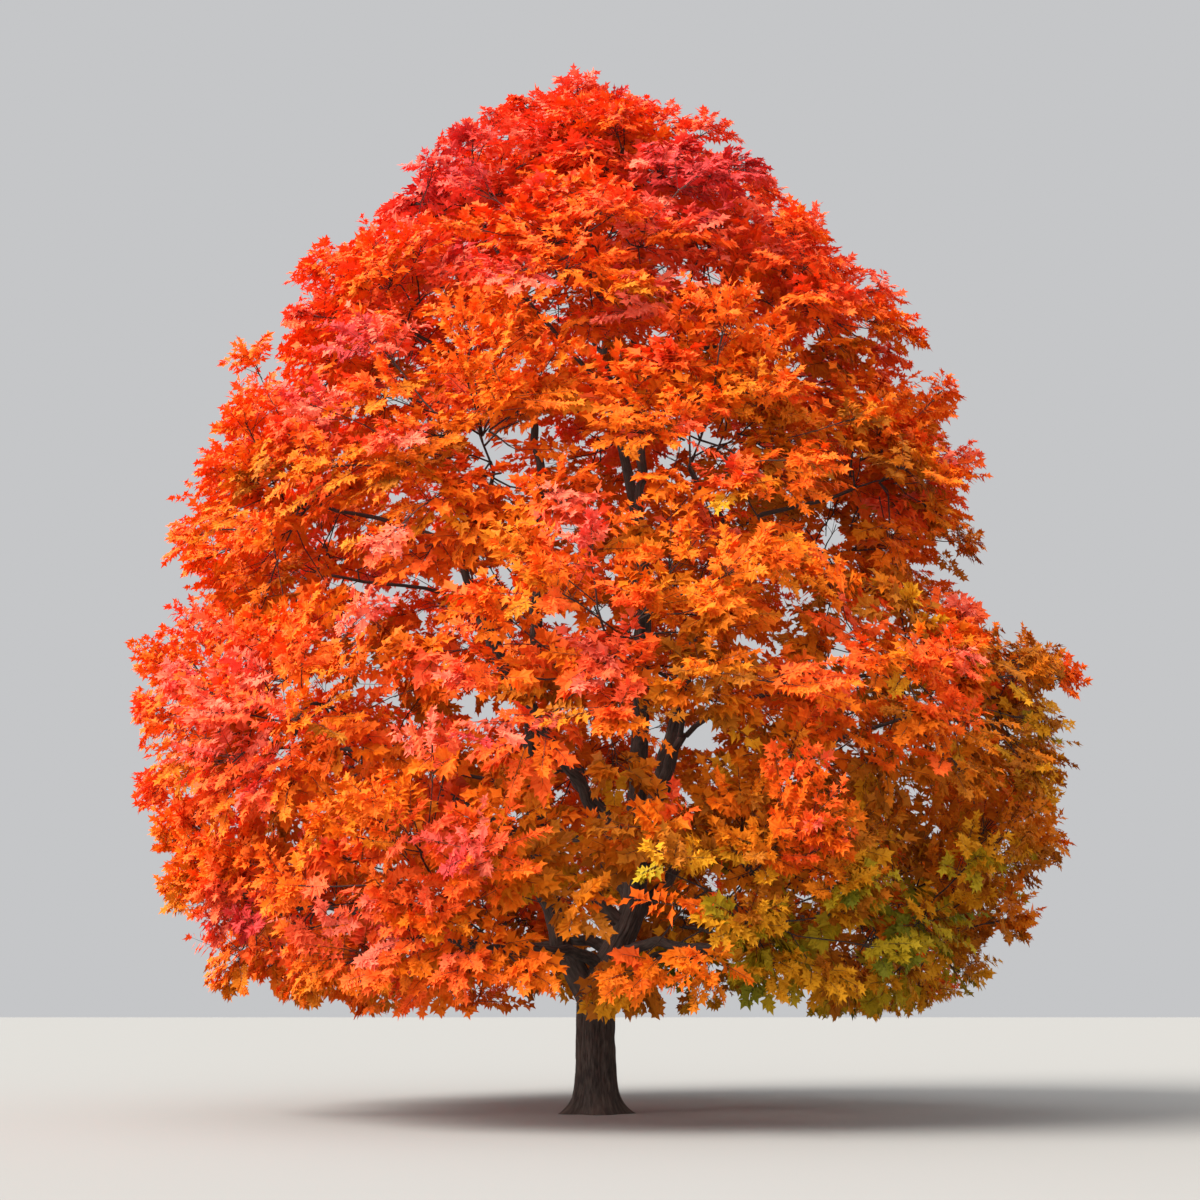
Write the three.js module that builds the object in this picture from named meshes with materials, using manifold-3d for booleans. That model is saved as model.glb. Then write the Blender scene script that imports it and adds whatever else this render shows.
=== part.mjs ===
// An open-grown maple in full autumn leaf, about 16 m high, rooted in level ground.
// Millimetres, +Z up. The origin is the middle of the flat cut at ground level, +X is the
// tree's right and -Y its front.
//
// The trunk carries boughs and each bough carries a pair of foliage masses. A mass is one stem
// that branches by a seeded rule to sprays of leaves, which stand out of a dense core. Every
// mass keeps to its own space, the part of the crown that lies nearest to its middle.

import * as THREE from 'three';
import { mergeVertices } from 'three/addons/utils/BufferGeometryUtils.js';
import Module from 'manifold-3d';

const wasm = await Module();
wasm.setup();

// Driving dimensions

const CLEAR = 0.3; // gap between pieces that meet
const BOUGH_CLEAR = 0.27; // a little less, because a stem's foot already keeps the whole gap
const WELD = 1e-3; // corners nearer than this are one

const CROWN = {
  top: 16400,
  widest: 5600, // height at which it is widest
  foot: 1350, // height at which its outline would close below
  reach: [7250, 6850], // from the upright axis, for its lower and its upper part
  lean: [200, -200], // extra reach to the right in each part, and as much less to the left
  parts: [5900, 8000], // heights between which the lower part passes into the upper one
  upperBulge: [2.0, 0.66],
  lowerBulge: [1.0, 0.11],
  roundness: 0.55, // of the way in which foliage faces: 0 level everywhere, 1 as on a ball
  hollow: 0.46, // bare share of the reach inside the lower crown
  hollowFades: [8000, 12600], // heights between which the bare inside closes
};

// A dip in the outline on both sides, between the two parts, which is higher on the right
const NOTCH = { height: 7250, rise: 350, spread: 420, depth: 0.18 };

const TRUNK = {
  tip: 12300,
  flare: 215, // what the root flare adds to the radius at the ground
  flareHeight: 165,
  buttresses: 5,
  buttressDepth: 0.13,
  flutes: 7,
  fluteDepth: 0.035,
  flutesFade: [1500, 3000],
  lobesTurned: [0.6, -0.4], // radians that the buttresses and the flutes are turned
  sides: 18,
  rings: 16,
  ringCrowding: 2.1, // how much closer the rings lie at the flare
};

// Radius of the trunk at a few heights, less its flare, and the sideways steps that it takes
const TRUNK_TAPER = [
  [0, 300], [1700, 276], [2500, 225], [3300, 172], [5000, 140], [8000, 104], [12300, 44],
];
const TRUNK_STEPS = [
  { axis: 'x', by: 600, from: 1500, to: 3200 },
  { axis: 'x', by: 160, from: 3400, to: 7600 },
  { axis: 'x', by: -620, from: 7800, to: 12300 },
  { axis: 'y', by: 120, from: 1800, to: 5200 },
  { axis: 'y', by: -160, from: 6000, to: 12000 },
];

// Rings of foliage masses, from the ground up. Bearings are in degrees from +X towards +Y.
// tilt is how much a ring rises for each millimetre to the right. Each bough carries two
// neighbours in a ring: leave gives the heights at which the boughs leave the trunk, tips how
// far out they end as shares of the crown's reach, radius their share of the trunk's radius at
// the foot and the radius of their tips, and pitch their slope at both ends. The second bough of
// the high ring leaves lowest, as the trunk's second leader. The shoulder ring has no boughs: the
// stems of its masses leave the trunk themselves.
const RINGS = [
  { name: 'skirt', height: 2750, tilt: 0, masses: 8, first: 22.5, ring: 0.77,
    leave: [1900, 2280, 2050, 2160], tips: [0.42, 0.42, 0.42, 0.42],
    radius: [0.36, 56], pitch: [30, 14], tipDrop: 350 },
  { name: 'low', height: 5700, tilt: 0.05, masses: 8, first: 0, ring: 0.755,
    leave: [2480, 2960, 2640, 3080], tips: [0.43, 0.43, 0.43, 0.43],
    radius: [0.45, 56], pitch: [48, 30], tipDrop: 650 },
  { name: 'middle', height: 8850, tilt: 0.06, masses: 8, first: 22.5, ring: 0.72,
    leave: [3200, 3680, 3440, 3920], tips: [0.42, 0.42, 0.42, 0.42],
    radius: [0.58, 58], pitch: [52, 62], tipDrop: 900 },
  { name: 'high', height: 11850, tilt: 0.02, masses: 6, first: 30, ring: 0.67,
    leave: [4450, 1500, 4950], tips: [0.3, 0.19, 0.3],
    radius: [0.6, 58], pitch: [58, 80], tipDrop: 950 },
  { name: 'shoulder', height: 14050, tilt: 0, masses: 4, first: 20, ring: 0.55,
    leave: [10700, 11700, 11100, 12000] },
  { name: 'top', height: 15550, tilt: 0, masses: 1, first: 0, ring: 0, x: -250 },
];
const JITTER = { bearing: 5, ring: 0.03, height: 140 };

const BOUGH = { sides: 8, rings: 7, thinning: 0.85, collar: 0.3, collarFade: 9, hold: 0.38 };
const STEM = {
  radius: [40, 26], sides: 5, rings: 3, apart: 6, pitch: 38, short: 250, hold: 0.3,
  branches: [0.7, 0.8, 0.9, 1], // points along it from which twigs may start
};
const CLUMPS = { each: 15, tries: 14, depth: [0.6, 0.92], lean: 0.85, farthest: 4000, outer: 0.35 };
const TWIG = { radius: [22, 13], sides: 3, tests: [0.25, 0.5, 0.75, 1] };
const SPRAY = {
  length: [900, 2300], width: 0.8, depth: 0.26, belly: 0.6, root: 0.42, upright: 0.8,
  tests: [0, 0.25, 0.5], // points between two corners at which it has to be clear of limbs
};
const SPRAY_CUTS = [ // shares of the length and the width, tried in turn
  [1, 1], [1, 0.75], [0.85, 0.75], [0.85, 0.5], [0.65, 0.6], [0.5, 0.4],
];
const CORE = { inner: 0.36, outer: 0.72, faces: [-0.8, 0.3], rough: 0.16, farthest: 3000 };
const MARGIN = 24; // from a mass to the edge of its space
const MARCH = 60; // step of a search for that edge
const LIMB_MARGIN = 90; // from a spray or a twig to a limb
const LIMB_STEPS = { trunk: 120, bough: 50 }; // spacing on the trunk, and points on a bough
const DETOUR = 0.2; // what a twig's start further along the wood costs, as a share of the way
const SEED = 41;

const UP = new THREE.Vector3(0, 0, 1);

// Shared arithmetic

const rad = THREE.MathUtils.degToRad;
const clamp01 = (t) => Math.min(1, Math.max(0, t));
const mix = (a, b, t) => a + (b - a) * t;

function smooth(value, from, to) {
  const t = clamp01((value - from) / (to - from));
  return t * t * (3 - 2 * t);
}

// A seeded stream of numbers from 0 to 1
function stream(seed) {
  let state = seed * 7919 + 17;
  return () => {
    state = (state * 16807) % 2147483647;
    return state / 2147483647;
  };
}

function taperAt(table, at) {
  for (let i = 1; i < table.length; i++) {
    const [a, b] = [table[i - 1], table[i]];
    if (at <= b[0]) return mix(a[1], b[1], clamp01((at - a[0]) / (b[0] - a[0])));
  }
  return table[table.length - 1][1];
}

// The crown's outline

function profile(z) {
  if (z >= CROWN.top || z <= CROWN.foot) return 0;
  const above = z > CROWN.widest;
  const end = above ? CROWN.top : CROWN.foot;
  const u = (z - CROWN.widest) / (end - CROWN.widest);
  const [inner, outer] = above ? CROWN.upperBulge : CROWN.lowerBulge;
  return (1 - u ** inner) ** outer;
}

function crownReach(z, bearing) {
  const part = smooth(z, ...CROWN.parts);
  const right = Math.cos(bearing);
  const reach = mix(...CROWN.reach, part) + mix(...CROWN.lean, part) * right;
  const fromNotch = (z - NOTCH.height - NOTCH.rise * right) / NOTCH.spread;
  const dip = NOTCH.depth * right ** 2 * Math.exp(-(fromNotch ** 2));
  return reach * profile(z) * (1 - dip);
}

const bareShare = (z) => CROWN.hollow * (1 - smooth(z, ...CROWN.hollowFades));

function insideCrown(p) {
  const out = Math.hypot(p.x, p.y);
  const reach = crownReach(p.z, Math.atan2(p.y, p.x));
  return out < reach && out > reach * bareShare(p.z);
}

// The trunk

function trunkAxis(z) {
  const p = new THREE.Vector3(0, 0, z);
  for (const step of TRUNK_STEPS) p[step.axis] += step.by * smooth(z, step.from, step.to);
  return p;
}

function trunkRadius(z, bearing) {
  const swell = Math.exp(-z / TRUNK.flareHeight);
  const [lobesTurn, flutesTurn] = TRUNK.lobesTurned;
  const lobes = TRUNK.buttressDepth * swell * Math.cos(TRUNK.buttresses * bearing + lobesTurn);
  const fluted = TRUNK.fluteDepth * (1 - smooth(z, ...TRUNK.flutesFade));
  const flutes = fluted * Math.cos(TRUNK.flutes * bearing + flutesTurn);
  return (taperAt(TRUNK_TAPER, z) + TRUNK.flare * swell) * (1 + lobes) * (1 + flutes);
}

// Solids

function solid(geometry) {
  const bare = geometry.clone();
  bare.deleteAttribute('normal');
  bare.deleteAttribute('uv');
  const merged = mergeVertices(bare, WELD);
  return new wasm.Manifold(new wasm.Mesh({
    numProp: 3,
    vertProperties: merged.attributes.position.array,
    triVerts: new Uint32Array(merged.index.array),
  }));
}

function largestBody(made) {
  return made.decompose().reduce((a, b) => (a.volume() > b.volume() ? a : b));
}

function geometryOf(made) {
  const mesh = made.getMesh();
  const geometry = new THREE.BufferGeometry();
  geometry.setAttribute('position', new THREE.BufferAttribute(mesh.vertProperties, 3));
  geometry.setIndex(new THREE.BufferAttribute(mesh.triVerts, 1));
  geometry.computeVertexNormals();
  return geometry;
}

// A closed tube: a cylinder whose points are moved to place(t, angle, share), for t from 0 to 1
// along it, where share is 0 in the middle of an end and 1 on the wall
function tube(sides, rings, place) {
  const geometry = new THREE.CylinderGeometry(1, 1, 1, sides, rings);
  const at = geometry.attributes.position;
  const p = new THREE.Vector3();
  for (let i = 0; i < at.count; i++) {
    p.fromBufferAttribute(at, i);
    const centred = Math.hypot(p.x, p.z) < 0.5;
    p.copy(place(p.y + 0.5, Math.atan2(-p.z, p.x), centred ? 0 : 1));
    at.setXYZ(i, p.x, p.y, p.z);
  }
  return solid(geometry);
}

// Two directions square to a third
function across(direction) {
  const other = Math.abs(direction.z) < 0.9 ? UP : new THREE.Vector3(1, 0, 0);
  const side = new THREE.Vector3().crossVectors(other, direction).normalize();
  return [side, new THREE.Vector3().crossVectors(direction, side)];
}

// A tapering limb along a curve, grown all round by a clearance
function limbSolid(curve, radiusAt, sides, rings, grown = 0) {
  return tube(sides, rings, (t, angle, share) => {
    const direction = curve.getTangent(t);
    const [a, b] = across(direction);
    const r = share * (radiusAt(t) + grown);
    return curve.getPoint(t)
      .addScaledVector(a, r * Math.cos(angle))
      .addScaledVector(b, r * Math.sin(angle))
      .addScaledVector(direction, t === 1 ? grown : 0);
  });
}

function trunkSolid(grown = 0) {
  return tube(TRUNK.sides, TRUNK.rings, (t, angle, share) => {
    const z = TRUNK.tip * t ** TRUNK.ringCrowding;
    const end = t === 1 ? grown : 0;
    const p = trunkAxis(z);
    const r = share * (trunkRadius(z, angle) + grown);
    return p.add(new THREE.Vector3(r * Math.cos(angle), r * Math.sin(angle), end));
  });
}

// Boughs: from the trunk's axis, where the trunk is cut out of them, to a tip inside the crown

const bearingVector = (bearing) => new THREE.Vector3(Math.cos(bearing), Math.sin(bearing), 0);
const pitched = (bearing, pitch) =>
  bearingVector(bearing).multiplyScalar(Math.cos(pitch)).addScaledVector(UP, Math.sin(pitch));

function bezier(start, startWay, end, endWay, hold) {
  const span = start.distanceTo(end) * hold;
  return new THREE.CubicBezierCurve3(
    start,
    start.clone().addScaledVector(startWay, span),
    end.clone().addScaledVector(endWay, -span),
    end,
  );
}

function makeBough(ring, k, bearing) {
  const start = trunkAxis(ring.leave[k]);
  const end = bearingVector(bearing).multiplyScalar(crownReach(ring.height, bearing) * ring.tips[k]);
  end.z = ring.height - ring.tipDrop + ring.tilt * end.x;
  const heading = Math.atan2(end.y - start.y, end.x - start.x);
  const [leavePitch, tipPitch] = ring.pitch.map(rad);
  const [share, tipRadius] = ring.radius;
  const rootRadius = share * taperAt(TRUNK_TAPER, ring.leave[k]);
  return {
    name: `bough_${ring.name}_${k + 1}`,
    curve: bezier(start, pitched(heading, leavePitch), end, pitched(bearing, tipPitch), BOUGH.hold),
    radiusAt: (t) =>
      mix(rootRadius, tipRadius, t ** BOUGH.thinning) *
      (1 + BOUGH.collar * Math.exp(-t * BOUGH.collarFade)),
  };
}

// Masses: rings of middles, each with the limb that carries it

const boughs = [];
const masses = [];

RINGS.forEach((ring, level) => {
  const draw = stream(SEED + level);
  const step = 360 / ring.masses;
  for (let k = 0; k < ring.masses; k++) {
    const bearing = rad(ring.first + k * step + mix(-1, 1, draw()) * JITTER.bearing);
    const height = ring.height + mix(-1, 1, draw()) * JITTER.height;
    const share = ring.ring && ring.ring + mix(-1, 1, draw()) * JITTER.ring;
    const middle = bearingVector(bearing).multiplyScalar(crownReach(height, bearing) * share);
    middle.x += ring.x ?? 0;
    middle.z = height + ring.tilt * middle.x;
    const name = ring.masses === 1 ? `foliage_${ring.name}` : `foliage_${ring.name}_${k + 1}`;
    masses.push({ name, ring, middle, k });
  }
  if (!ring.radius) return;
  for (let k = 0; k < ring.masses / 2; k++) {
    const bough = makeBough(ring, k, rad(ring.first + (2 * k + 0.5) * step));
    const pair = masses.slice(masses.length - ring.masses + 2 * k).slice(0, 2);
    pair.forEach((mass, n) => Object.assign(mass, { bough, side: n * 2 - 1 }));
    boughs.push(bough);
  }
});

const limbPoints = [];
for (let z = 0; z <= TRUNK.tip; z += LIMB_STEPS.trunk) {
  limbPoints.push([trunkAxis(z), taperAt(TRUNK_TAPER, z)]);
}
for (const bough of boughs) {
  for (let i = 0; i <= LIMB_STEPS.bough; i++) {
    const t = i / LIMB_STEPS.bough;
    limbPoints.push([bough.curve.getPoint(t), bough.radiusAt(t)]);
  }
}

const clearOfLimbs = (p) => limbPoints.every(([q, r]) => p.distanceToSquared(q) > (r + LIMB_MARGIN) ** 2);

// A point is in a mass's space if it is inside the crown and nearer to that mass's middle than
// to any other, by the margin
function inSpace(p, mass, margin = MARGIN) {
  if (!insideCrown(p)) return false;
  const own = p.distanceToSquared(mass.middle);
  return masses.every((other) =>
    other === mass ||
    p.distanceToSquared(other.middle) - own > 2 * margin * mass.middle.distanceTo(other.middle));
}

// How far the mass's space goes on from a point
function reachFrom(point, way, mass) {
  let far = 0;
  while (inSpace(point.clone().addScaledVector(way, far + MARCH), mass)) far += MARCH;
  return far;
}

const outward = (p) =>
  new THREE.Vector3(p.x, p.y, CROWN.roundness * (p.z - CROWN.widest)).normalize();

// Clumps of foliage in a mass: each is the best of several seeded tries, the one furthest from
// the clumps that are there already
function clumpsOf(mass, index) {
  const draw = stream(SEED * 100 + index);
  const facing = outward(mass.middle).multiplyScalar(CLUMPS.lean);
  const clumps = [];
  for (let n = 0; n < CLUMPS.each; n++) {
    let best = null;
    for (let k = 0; k < CLUMPS.tries; k++) {
      const z = mix(-1, 1, draw());
      const turn = draw() * 2 * Math.PI;
      const level = Math.sqrt(1 - z * z);
      const way = new THREE.Vector3(level * Math.cos(turn), level * Math.sin(turn), z);
      way.add(facing).normalize();
      const out = reachFrom(mass.middle, way, mass) * mix(...CLUMPS.depth, draw());
      const at = mass.middle.clone().addScaledVector(way, out);
      const apart = Math.min(...clumps.map((c) => c.distanceTo(at)), CLUMPS.farthest);
      const gap = apart + CLUMPS.outer * out;
      if (!best || gap > best.gap) best = { at, gap };
    }
    clumps.push(best.at);
  }
  return clumps;
}

// The stem leaves its bough's tip beside the other stem of the pair, or the trunk's side or tip
function stemOf(mass) {
  const end = mass.middle.clone().addScaledVector(outward(mass.middle), -STEM.short);
  let start;
  let way;
  if (mass.bough) {
    way = mass.bough.curve.getTangent(1);
    const beside = new THREE.Vector3().crossVectors(UP, way).normalize();
    start = mass.bough.curve.getPoint(1).addScaledVector(way, CLEAR);
    start.addScaledVector(beside, mass.side * (STEM.radius[0] + STEM.apart));
  } else if (mass.ring.masses === 1) {
    start = trunkAxis(TRUNK.tip);
    start.z += CLEAR;
    way = UP.clone();
  } else {
    start = trunkAxis(mass.ring.leave[mass.k]);
    way = pitched(Math.atan2(mass.middle.y, mass.middle.x), rad(STEM.pitch));
  }
  return bezier(start, way, end, outward(mass.middle), STEM.hold);
}

const stemRadius = (t) => mix(...STEM.radius, t);

// Wood grown so far is a list of points with their distance along it from the foot. A new twig
// starts from the point that makes it short and the way to it short.
function growFrom(wood, at) {
  const cost = (w) => w.point.distanceTo(at) + DETOUR * w.along;
  return wood.reduce((a, b) => (cost(b) < cost(a) ? b : a));
}

// A spray of leaves: a flattened lozenge of eight faces from its root out to its tip
function sprayAt(root, way, lift, length, width) {
  const geometry = new THREE.OctahedronGeometry(1);
  const side = new THREE.Vector3().crossVectors(lift, way).normalize();
  const up = new THREE.Vector3().crossVectors(way, side);
  const at = geometry.attributes.position;
  for (let i = 0; i < at.count; i++) {
    const [x, y, z] = [at.getX(i), at.getY(i), at.getZ(i)];
    const along = x > 0.5 ? length : x < -0.5 ? 0 : length * SPRAY.belly;
    const p = root.clone().addScaledVector(way, along)
      .addScaledVector(side, (y * width) / 2)
      .addScaledVector(up, (z * length * SPRAY.depth) / 2);
    at.setXYZ(i, p.x, p.y, p.z);
  }
  return geometry;
}

// A spray fits where its corners are in the mass's space and no limb passes through it
function fits(geometry, mass) {
  const at = geometry.attributes.position;
  const corners = [];
  for (let i = 0; i < at.count; i++) corners.push(new THREE.Vector3().fromBufferAttribute(at, i));
  if (!corners.every((c) => inSpace(c, mass))) return false;
  return corners.every((a) => corners.every((b) =>
    SPRAY.tests.every((t) => clearOfLimbs(a.clone().lerp(b, t)))));
}

// The core fills most of the space on the outer side and less of it on the inner side
function coreOf(mass, index) {
  const geometry = new THREE.IcosahedronGeometry(1, 0);
  const at = geometry.attributes.position;
  const draw = stream(SEED * 300 + index);
  const out = outward(mass.middle);
  const placed = new Map();
  for (let i = 0; i < at.count; i++) {
    const way = new THREE.Vector3().fromBufferAttribute(at, i).normalize();
    const key = way.toArray().map((n) => n.toFixed(4)).join();
    if (!placed.has(key)) {
      const filled = mix(CORE.inner, CORE.outer, smooth(way.dot(out), ...CORE.faces));
      const share = filled * (1 - CORE.rough * draw());
      const far = Math.min(reachFrom(mass.middle, way, mass), CORE.farthest);
      placed.set(key, mass.middle.clone().addScaledVector(way, far * share));
    }
    at.setXYZ(i, ...placed.get(key).toArray());
  }
  return solid(geometry);
}

// A spray grows from the tip of its twig, well inside the core, through its clump and on to the
// edge of the space
function sprayOf(mass, root, at) {
  const way = at.clone().sub(root).normalize();
  const lift = outward(at).addScaledVector(UP, SPRAY.upright).normalize();
  const longest = THREE.MathUtils.clamp(reachFrom(root, way, mass), ...SPRAY.length);
  return SPRAY_CUTS
    .map(([along, wide]) => sprayAt(root, way, lift, longest * along, longest * SPRAY.width * wide))
    .find((geometry) => fits(geometry, mass));
}

function massSolid(mass, index, limbs) {
  const stem = stemOf(mass);
  const pieces = [limbSolid(stem, stemRadius, STEM.sides, STEM.rings), coreOf(mass, index)];
  const wood = STEM.branches.map((t) => ({ point: stem.getPoint(t), along: stem.getLength() * t }));
  const clumps = clumpsOf(mass, index);
  clumps.sort((a, b) => a.distanceTo(mass.middle) - b.distanceTo(mass.middle));
  for (const at of clumps) {
    const root = mass.middle.clone().lerp(at, SPRAY.root);
    const from = growFrom(wood, root);
    const twig = new THREE.LineCurve3(from.point, root);
    const path = TWIG.tests.map((t) => twig.getPoint(t));
    if (!path.every((p) => inSpace(p, mass, MARGIN + TWIG.radius[0]) && clearOfLimbs(p))) continue;
    pieces.push(limbSolid(twig, (t) => mix(...TWIG.radius, t), TWIG.sides, 1));
    wood.push({ point: twig.getPoint(0.5), along: from.along + twig.getLength() / 2 });
    const spray = sprayOf(mass, root, at);
    if (spray) pieces.push(solid(spray));
  }
  return largestBody(wasm.Manifold.union(pieces).subtract(limbs));
}

// The assembly

const BARK = new THREE.MeshStandardMaterial({ color: 0x4a3a30, roughness: 0.95, metalness: 0 });
const TINTS = [0xd9541e, 0xe0661c, 0xc8461c, 0xd87a22, 0xe2502a];

function meshOf(name, made, material) {
  const mesh = new THREE.Mesh(geometryOf(made), material);
  mesh.name = name;
  return mesh;
}

const tree = new THREE.Group();
tree.name = 'maple_tree';
tree.add(meshOf('trunk', trunkSolid(), BARK));

// Room for the limbs: what meets a limb is cut clear of it
const trunkRoom = trunkSolid(CLEAR);
const limbRooms = [trunkRoom];
for (const bough of boughs) {
  const made = limbSolid(bough.curve, bough.radiusAt, BOUGH.sides, BOUGH.rings).subtract(trunkRoom);
  tree.add(meshOf(bough.name, largestBody(made), BARK));
  limbRooms.push(limbSolid(bough.curve, bough.radiusAt, BOUGH.sides, BOUGH.rings, BOUGH_CLEAR));
}

const limbs = wasm.Manifold.union(limbRooms);
masses.forEach((mass, index) => {
  const color = TINTS[index % TINTS.length];
  const leaves = new THREE.MeshStandardMaterial({ color, roughness: 0.8, metalness: 0 });
  tree.add(meshOf(mass.name, massSolid(mass, index, limbs), leaves));
});

export default tree;
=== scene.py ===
"""An open-grown maple in full autumn leaf: the trunk and boughs with their bark, and a crown of
twigs and maple leaves that grows on from the limbs by the same seeded rule as the solid model.

Metres, +Z up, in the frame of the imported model: the origin is the middle of the flat cut at
ground level, +X is the tree's right and -Y its front.
"""
import math

import bpy
import numpy as np
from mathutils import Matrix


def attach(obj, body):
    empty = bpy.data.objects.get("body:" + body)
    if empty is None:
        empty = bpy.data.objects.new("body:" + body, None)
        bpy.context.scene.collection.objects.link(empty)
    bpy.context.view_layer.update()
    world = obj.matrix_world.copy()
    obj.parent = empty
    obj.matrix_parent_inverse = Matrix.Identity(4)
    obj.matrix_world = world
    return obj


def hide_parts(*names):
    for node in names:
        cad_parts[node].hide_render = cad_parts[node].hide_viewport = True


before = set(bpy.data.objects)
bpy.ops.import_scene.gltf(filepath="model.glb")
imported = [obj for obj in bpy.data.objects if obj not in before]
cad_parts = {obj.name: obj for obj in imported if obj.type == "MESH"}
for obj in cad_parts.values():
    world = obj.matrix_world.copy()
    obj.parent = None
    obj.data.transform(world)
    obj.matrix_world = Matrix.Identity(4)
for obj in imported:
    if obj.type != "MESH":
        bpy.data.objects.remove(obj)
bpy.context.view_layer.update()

# The crown, the trunk and the rings of foliage masses, as in the solid model

CROWN_TOP = 16.4
CROWN_WIDEST = 5.6  # height at which it is widest
CROWN_FOOT = 1.35  # height at which its outline would close below
CROWN_REACH = (7.25, 6.85)  # from the upright axis, for its lower and its upper part
CROWN_LEAN = (0.2, -0.2)  # extra reach to the right in each part, and as much less to the left
CROWN_PARTS = (5.9, 8.0)  # heights between which the lower part passes into the upper one
UPPER_BULGE = (2.0, 0.66)  # inner and outer power in the outline above its widest height
LOWER_BULGE = (1.0, 0.11)  # and below it
ROUNDNESS = 0.55  # of the way in which foliage faces: 0 level everywhere, 1 as on a ball
HOLLOW = 0.46  # bare share of the reach inside the lower crown
HOLLOW_FADES = (8.0, 12.6)  # heights between which the bare inside closes
NOTCH = dict(height=7.25, rise=0.35, spread=0.42, depth=0.18)  # a dip on both sides, higher to the right

TRUNK_TIP = 12.3
FLARE = 0.215  # what the root flare adds to the radius at the ground
FLARE_HEIGHT = 0.165  # height at which about a third of it is left
BUTTRESSES = 5
BUTTRESS_DEPTH = 0.13  # as a share of the radius
FLUTES = 7
FLUTE_DEPTH = 0.035  # as a share of the radius
FLUTES_FADE = (1.5, 3.0)  # heights between which they fade
LOBES_TURNED = (0.6, -0.4)  # radians that the buttresses and the flutes are turned
TRUNK_TAPER = (  # heights, with the trunk's radius less its flare
    (0, 0.3), (1.7, 0.276), (2.5, 0.225), (3.3, 0.172), (5, 0.14), (8, 0.104), (12.3, 0.044),
)
TRUNK_STEPS = (  # axis, 0 for x and 1 for y, sideways step, and the heights between which it is taken
    (0, 0.6, 1.5, 3.2),
    (0, 0.16, 3.4, 7.6),
    (0, -0.62, 7.8, 12.3),
    (1, 0.12, 1.8, 5.2),
    (1, -0.16, 6.0, 12.0),
)

# Rings of foliage masses, from the ground up. Bearings are in degrees from +X towards +Y. tilt is how
# much a ring rises for each metre to the right, and ring how far out its masses' middles lie, as a share
# of the crown's reach. Each bough carries two neighbours in a ring: leave gives the heights at which the
# boughs leave the trunk, tips how far out they end as shares of the reach, radius their share of the
# trunk's radius at the foot and the radius of their tips, pitch their slope at both ends, and tip_drop
# how far their tips lie below the ring. The second bough of the high ring leaves lowest, as the trunk's
# second leader. The shoulder ring has no boughs: the stems of its masses leave the trunk themselves.
RINGS = (
    dict(name="skirt", height=2.75, tilt=0, masses=8, first=22.5, ring=0.77,
         leave=(1.9, 2.28, 2.05, 2.16), tips=(0.42, 0.42, 0.42, 0.42),
         radius=(0.36, 0.056), pitch=(30, 14), tip_drop=0.35),
    dict(name="low", height=5.7, tilt=0.05, masses=8, first=0, ring=0.755,
         leave=(2.48, 2.96, 2.64, 3.08), tips=(0.43, 0.43, 0.43, 0.43),
         radius=(0.45, 0.056), pitch=(48, 30), tip_drop=0.65),
    dict(name="middle", height=8.85, tilt=0.06, masses=8, first=22.5, ring=0.72,
         leave=(3.2, 3.68, 3.44, 3.92), tips=(0.42, 0.42, 0.42, 0.42),
         radius=(0.58, 0.058), pitch=(52, 62), tip_drop=0.9),
    dict(name="high", height=11.85, tilt=0.02, masses=6, first=30, ring=0.67,
         leave=(4.45, 1.5, 4.95), tips=(0.3, 0.19, 0.3),
         radius=(0.6, 0.058), pitch=(58, 80), tip_drop=0.95),
    dict(name="shoulder", height=14.05, tilt=0, masses=4, first=20, ring=0.55,
         leave=(10.7, 11.7, 11.1, 12.0)),
    dict(name="top", height=15.55, tilt=0, masses=1, first=0, ring=0, x=-0.25),
)
BEARING_JITTER = 5  # degrees
RING_JITTER = 0.03  # share of the reach
HEIGHT_JITTER = 0.14

BOUGH_THINNING = 0.85  # power by which a bough thins from its foot to its tip
COLLAR = 0.3  # how much thicker it is where it leaves the trunk, as a share
COLLAR_FADE = 9  # how fast that fades along it
BOUGH_HOLD = 0.38  # how far a limb keeps the way of its ends, as a share of its span
STEM_RADIUS = (0.040, 0.026)  # at its foot and its tip
STEM_APART = 0.006  # half the gap between the two stems on a bough's tip
STEM_PITCH = 38  # degrees, where it leaves the trunk
STEM_SHORT = 0.25  # how far from its mass's middle it ends
STEM_HOLD = 0.3
STEM_BRANCHES = (0.7, 0.8, 0.9, 1.0)  # points along a stem from which twigs may start
CLUMP_TRIES = 14
CLUMP_LEAN = 0.85  # how far clumps lean to the outer side of their mass
CLUMP_FARTHEST = 4.0  # distance between clumps beyond which more counts for nothing
CLUMP_OUTER = 0.35  # what a way out counts, against one from the nearest clump
SPRAY_ROOT = 0.42  # where a clump's solid sprays start, as a share of the way from its mass's middle
MARGIN = 0.024  # from a mass to the edge of its space
MARCH = 0.06  # step of a search for that edge
MARCH_STEPS = 150  # most steps of it
DETOUR = 0.2  # what a twig's start further along the wood costs, as a share of the way
LENGTH_POINTS = 201  # along a limb, by which its length is measured
SEED = 41
BARK_SEEDS = 10  # between the seeds of two boughs' bark
STEM_SEEDS = 7  # times the seed, for the small bends of stems and twigs
STREAM_START = (7919, 17)  # factor of a seed, and what is added, for a stream's first state
STREAM_FACTOR = 16807
STREAM_PRIME = 2147483647

# What is finer than the solid model

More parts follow.
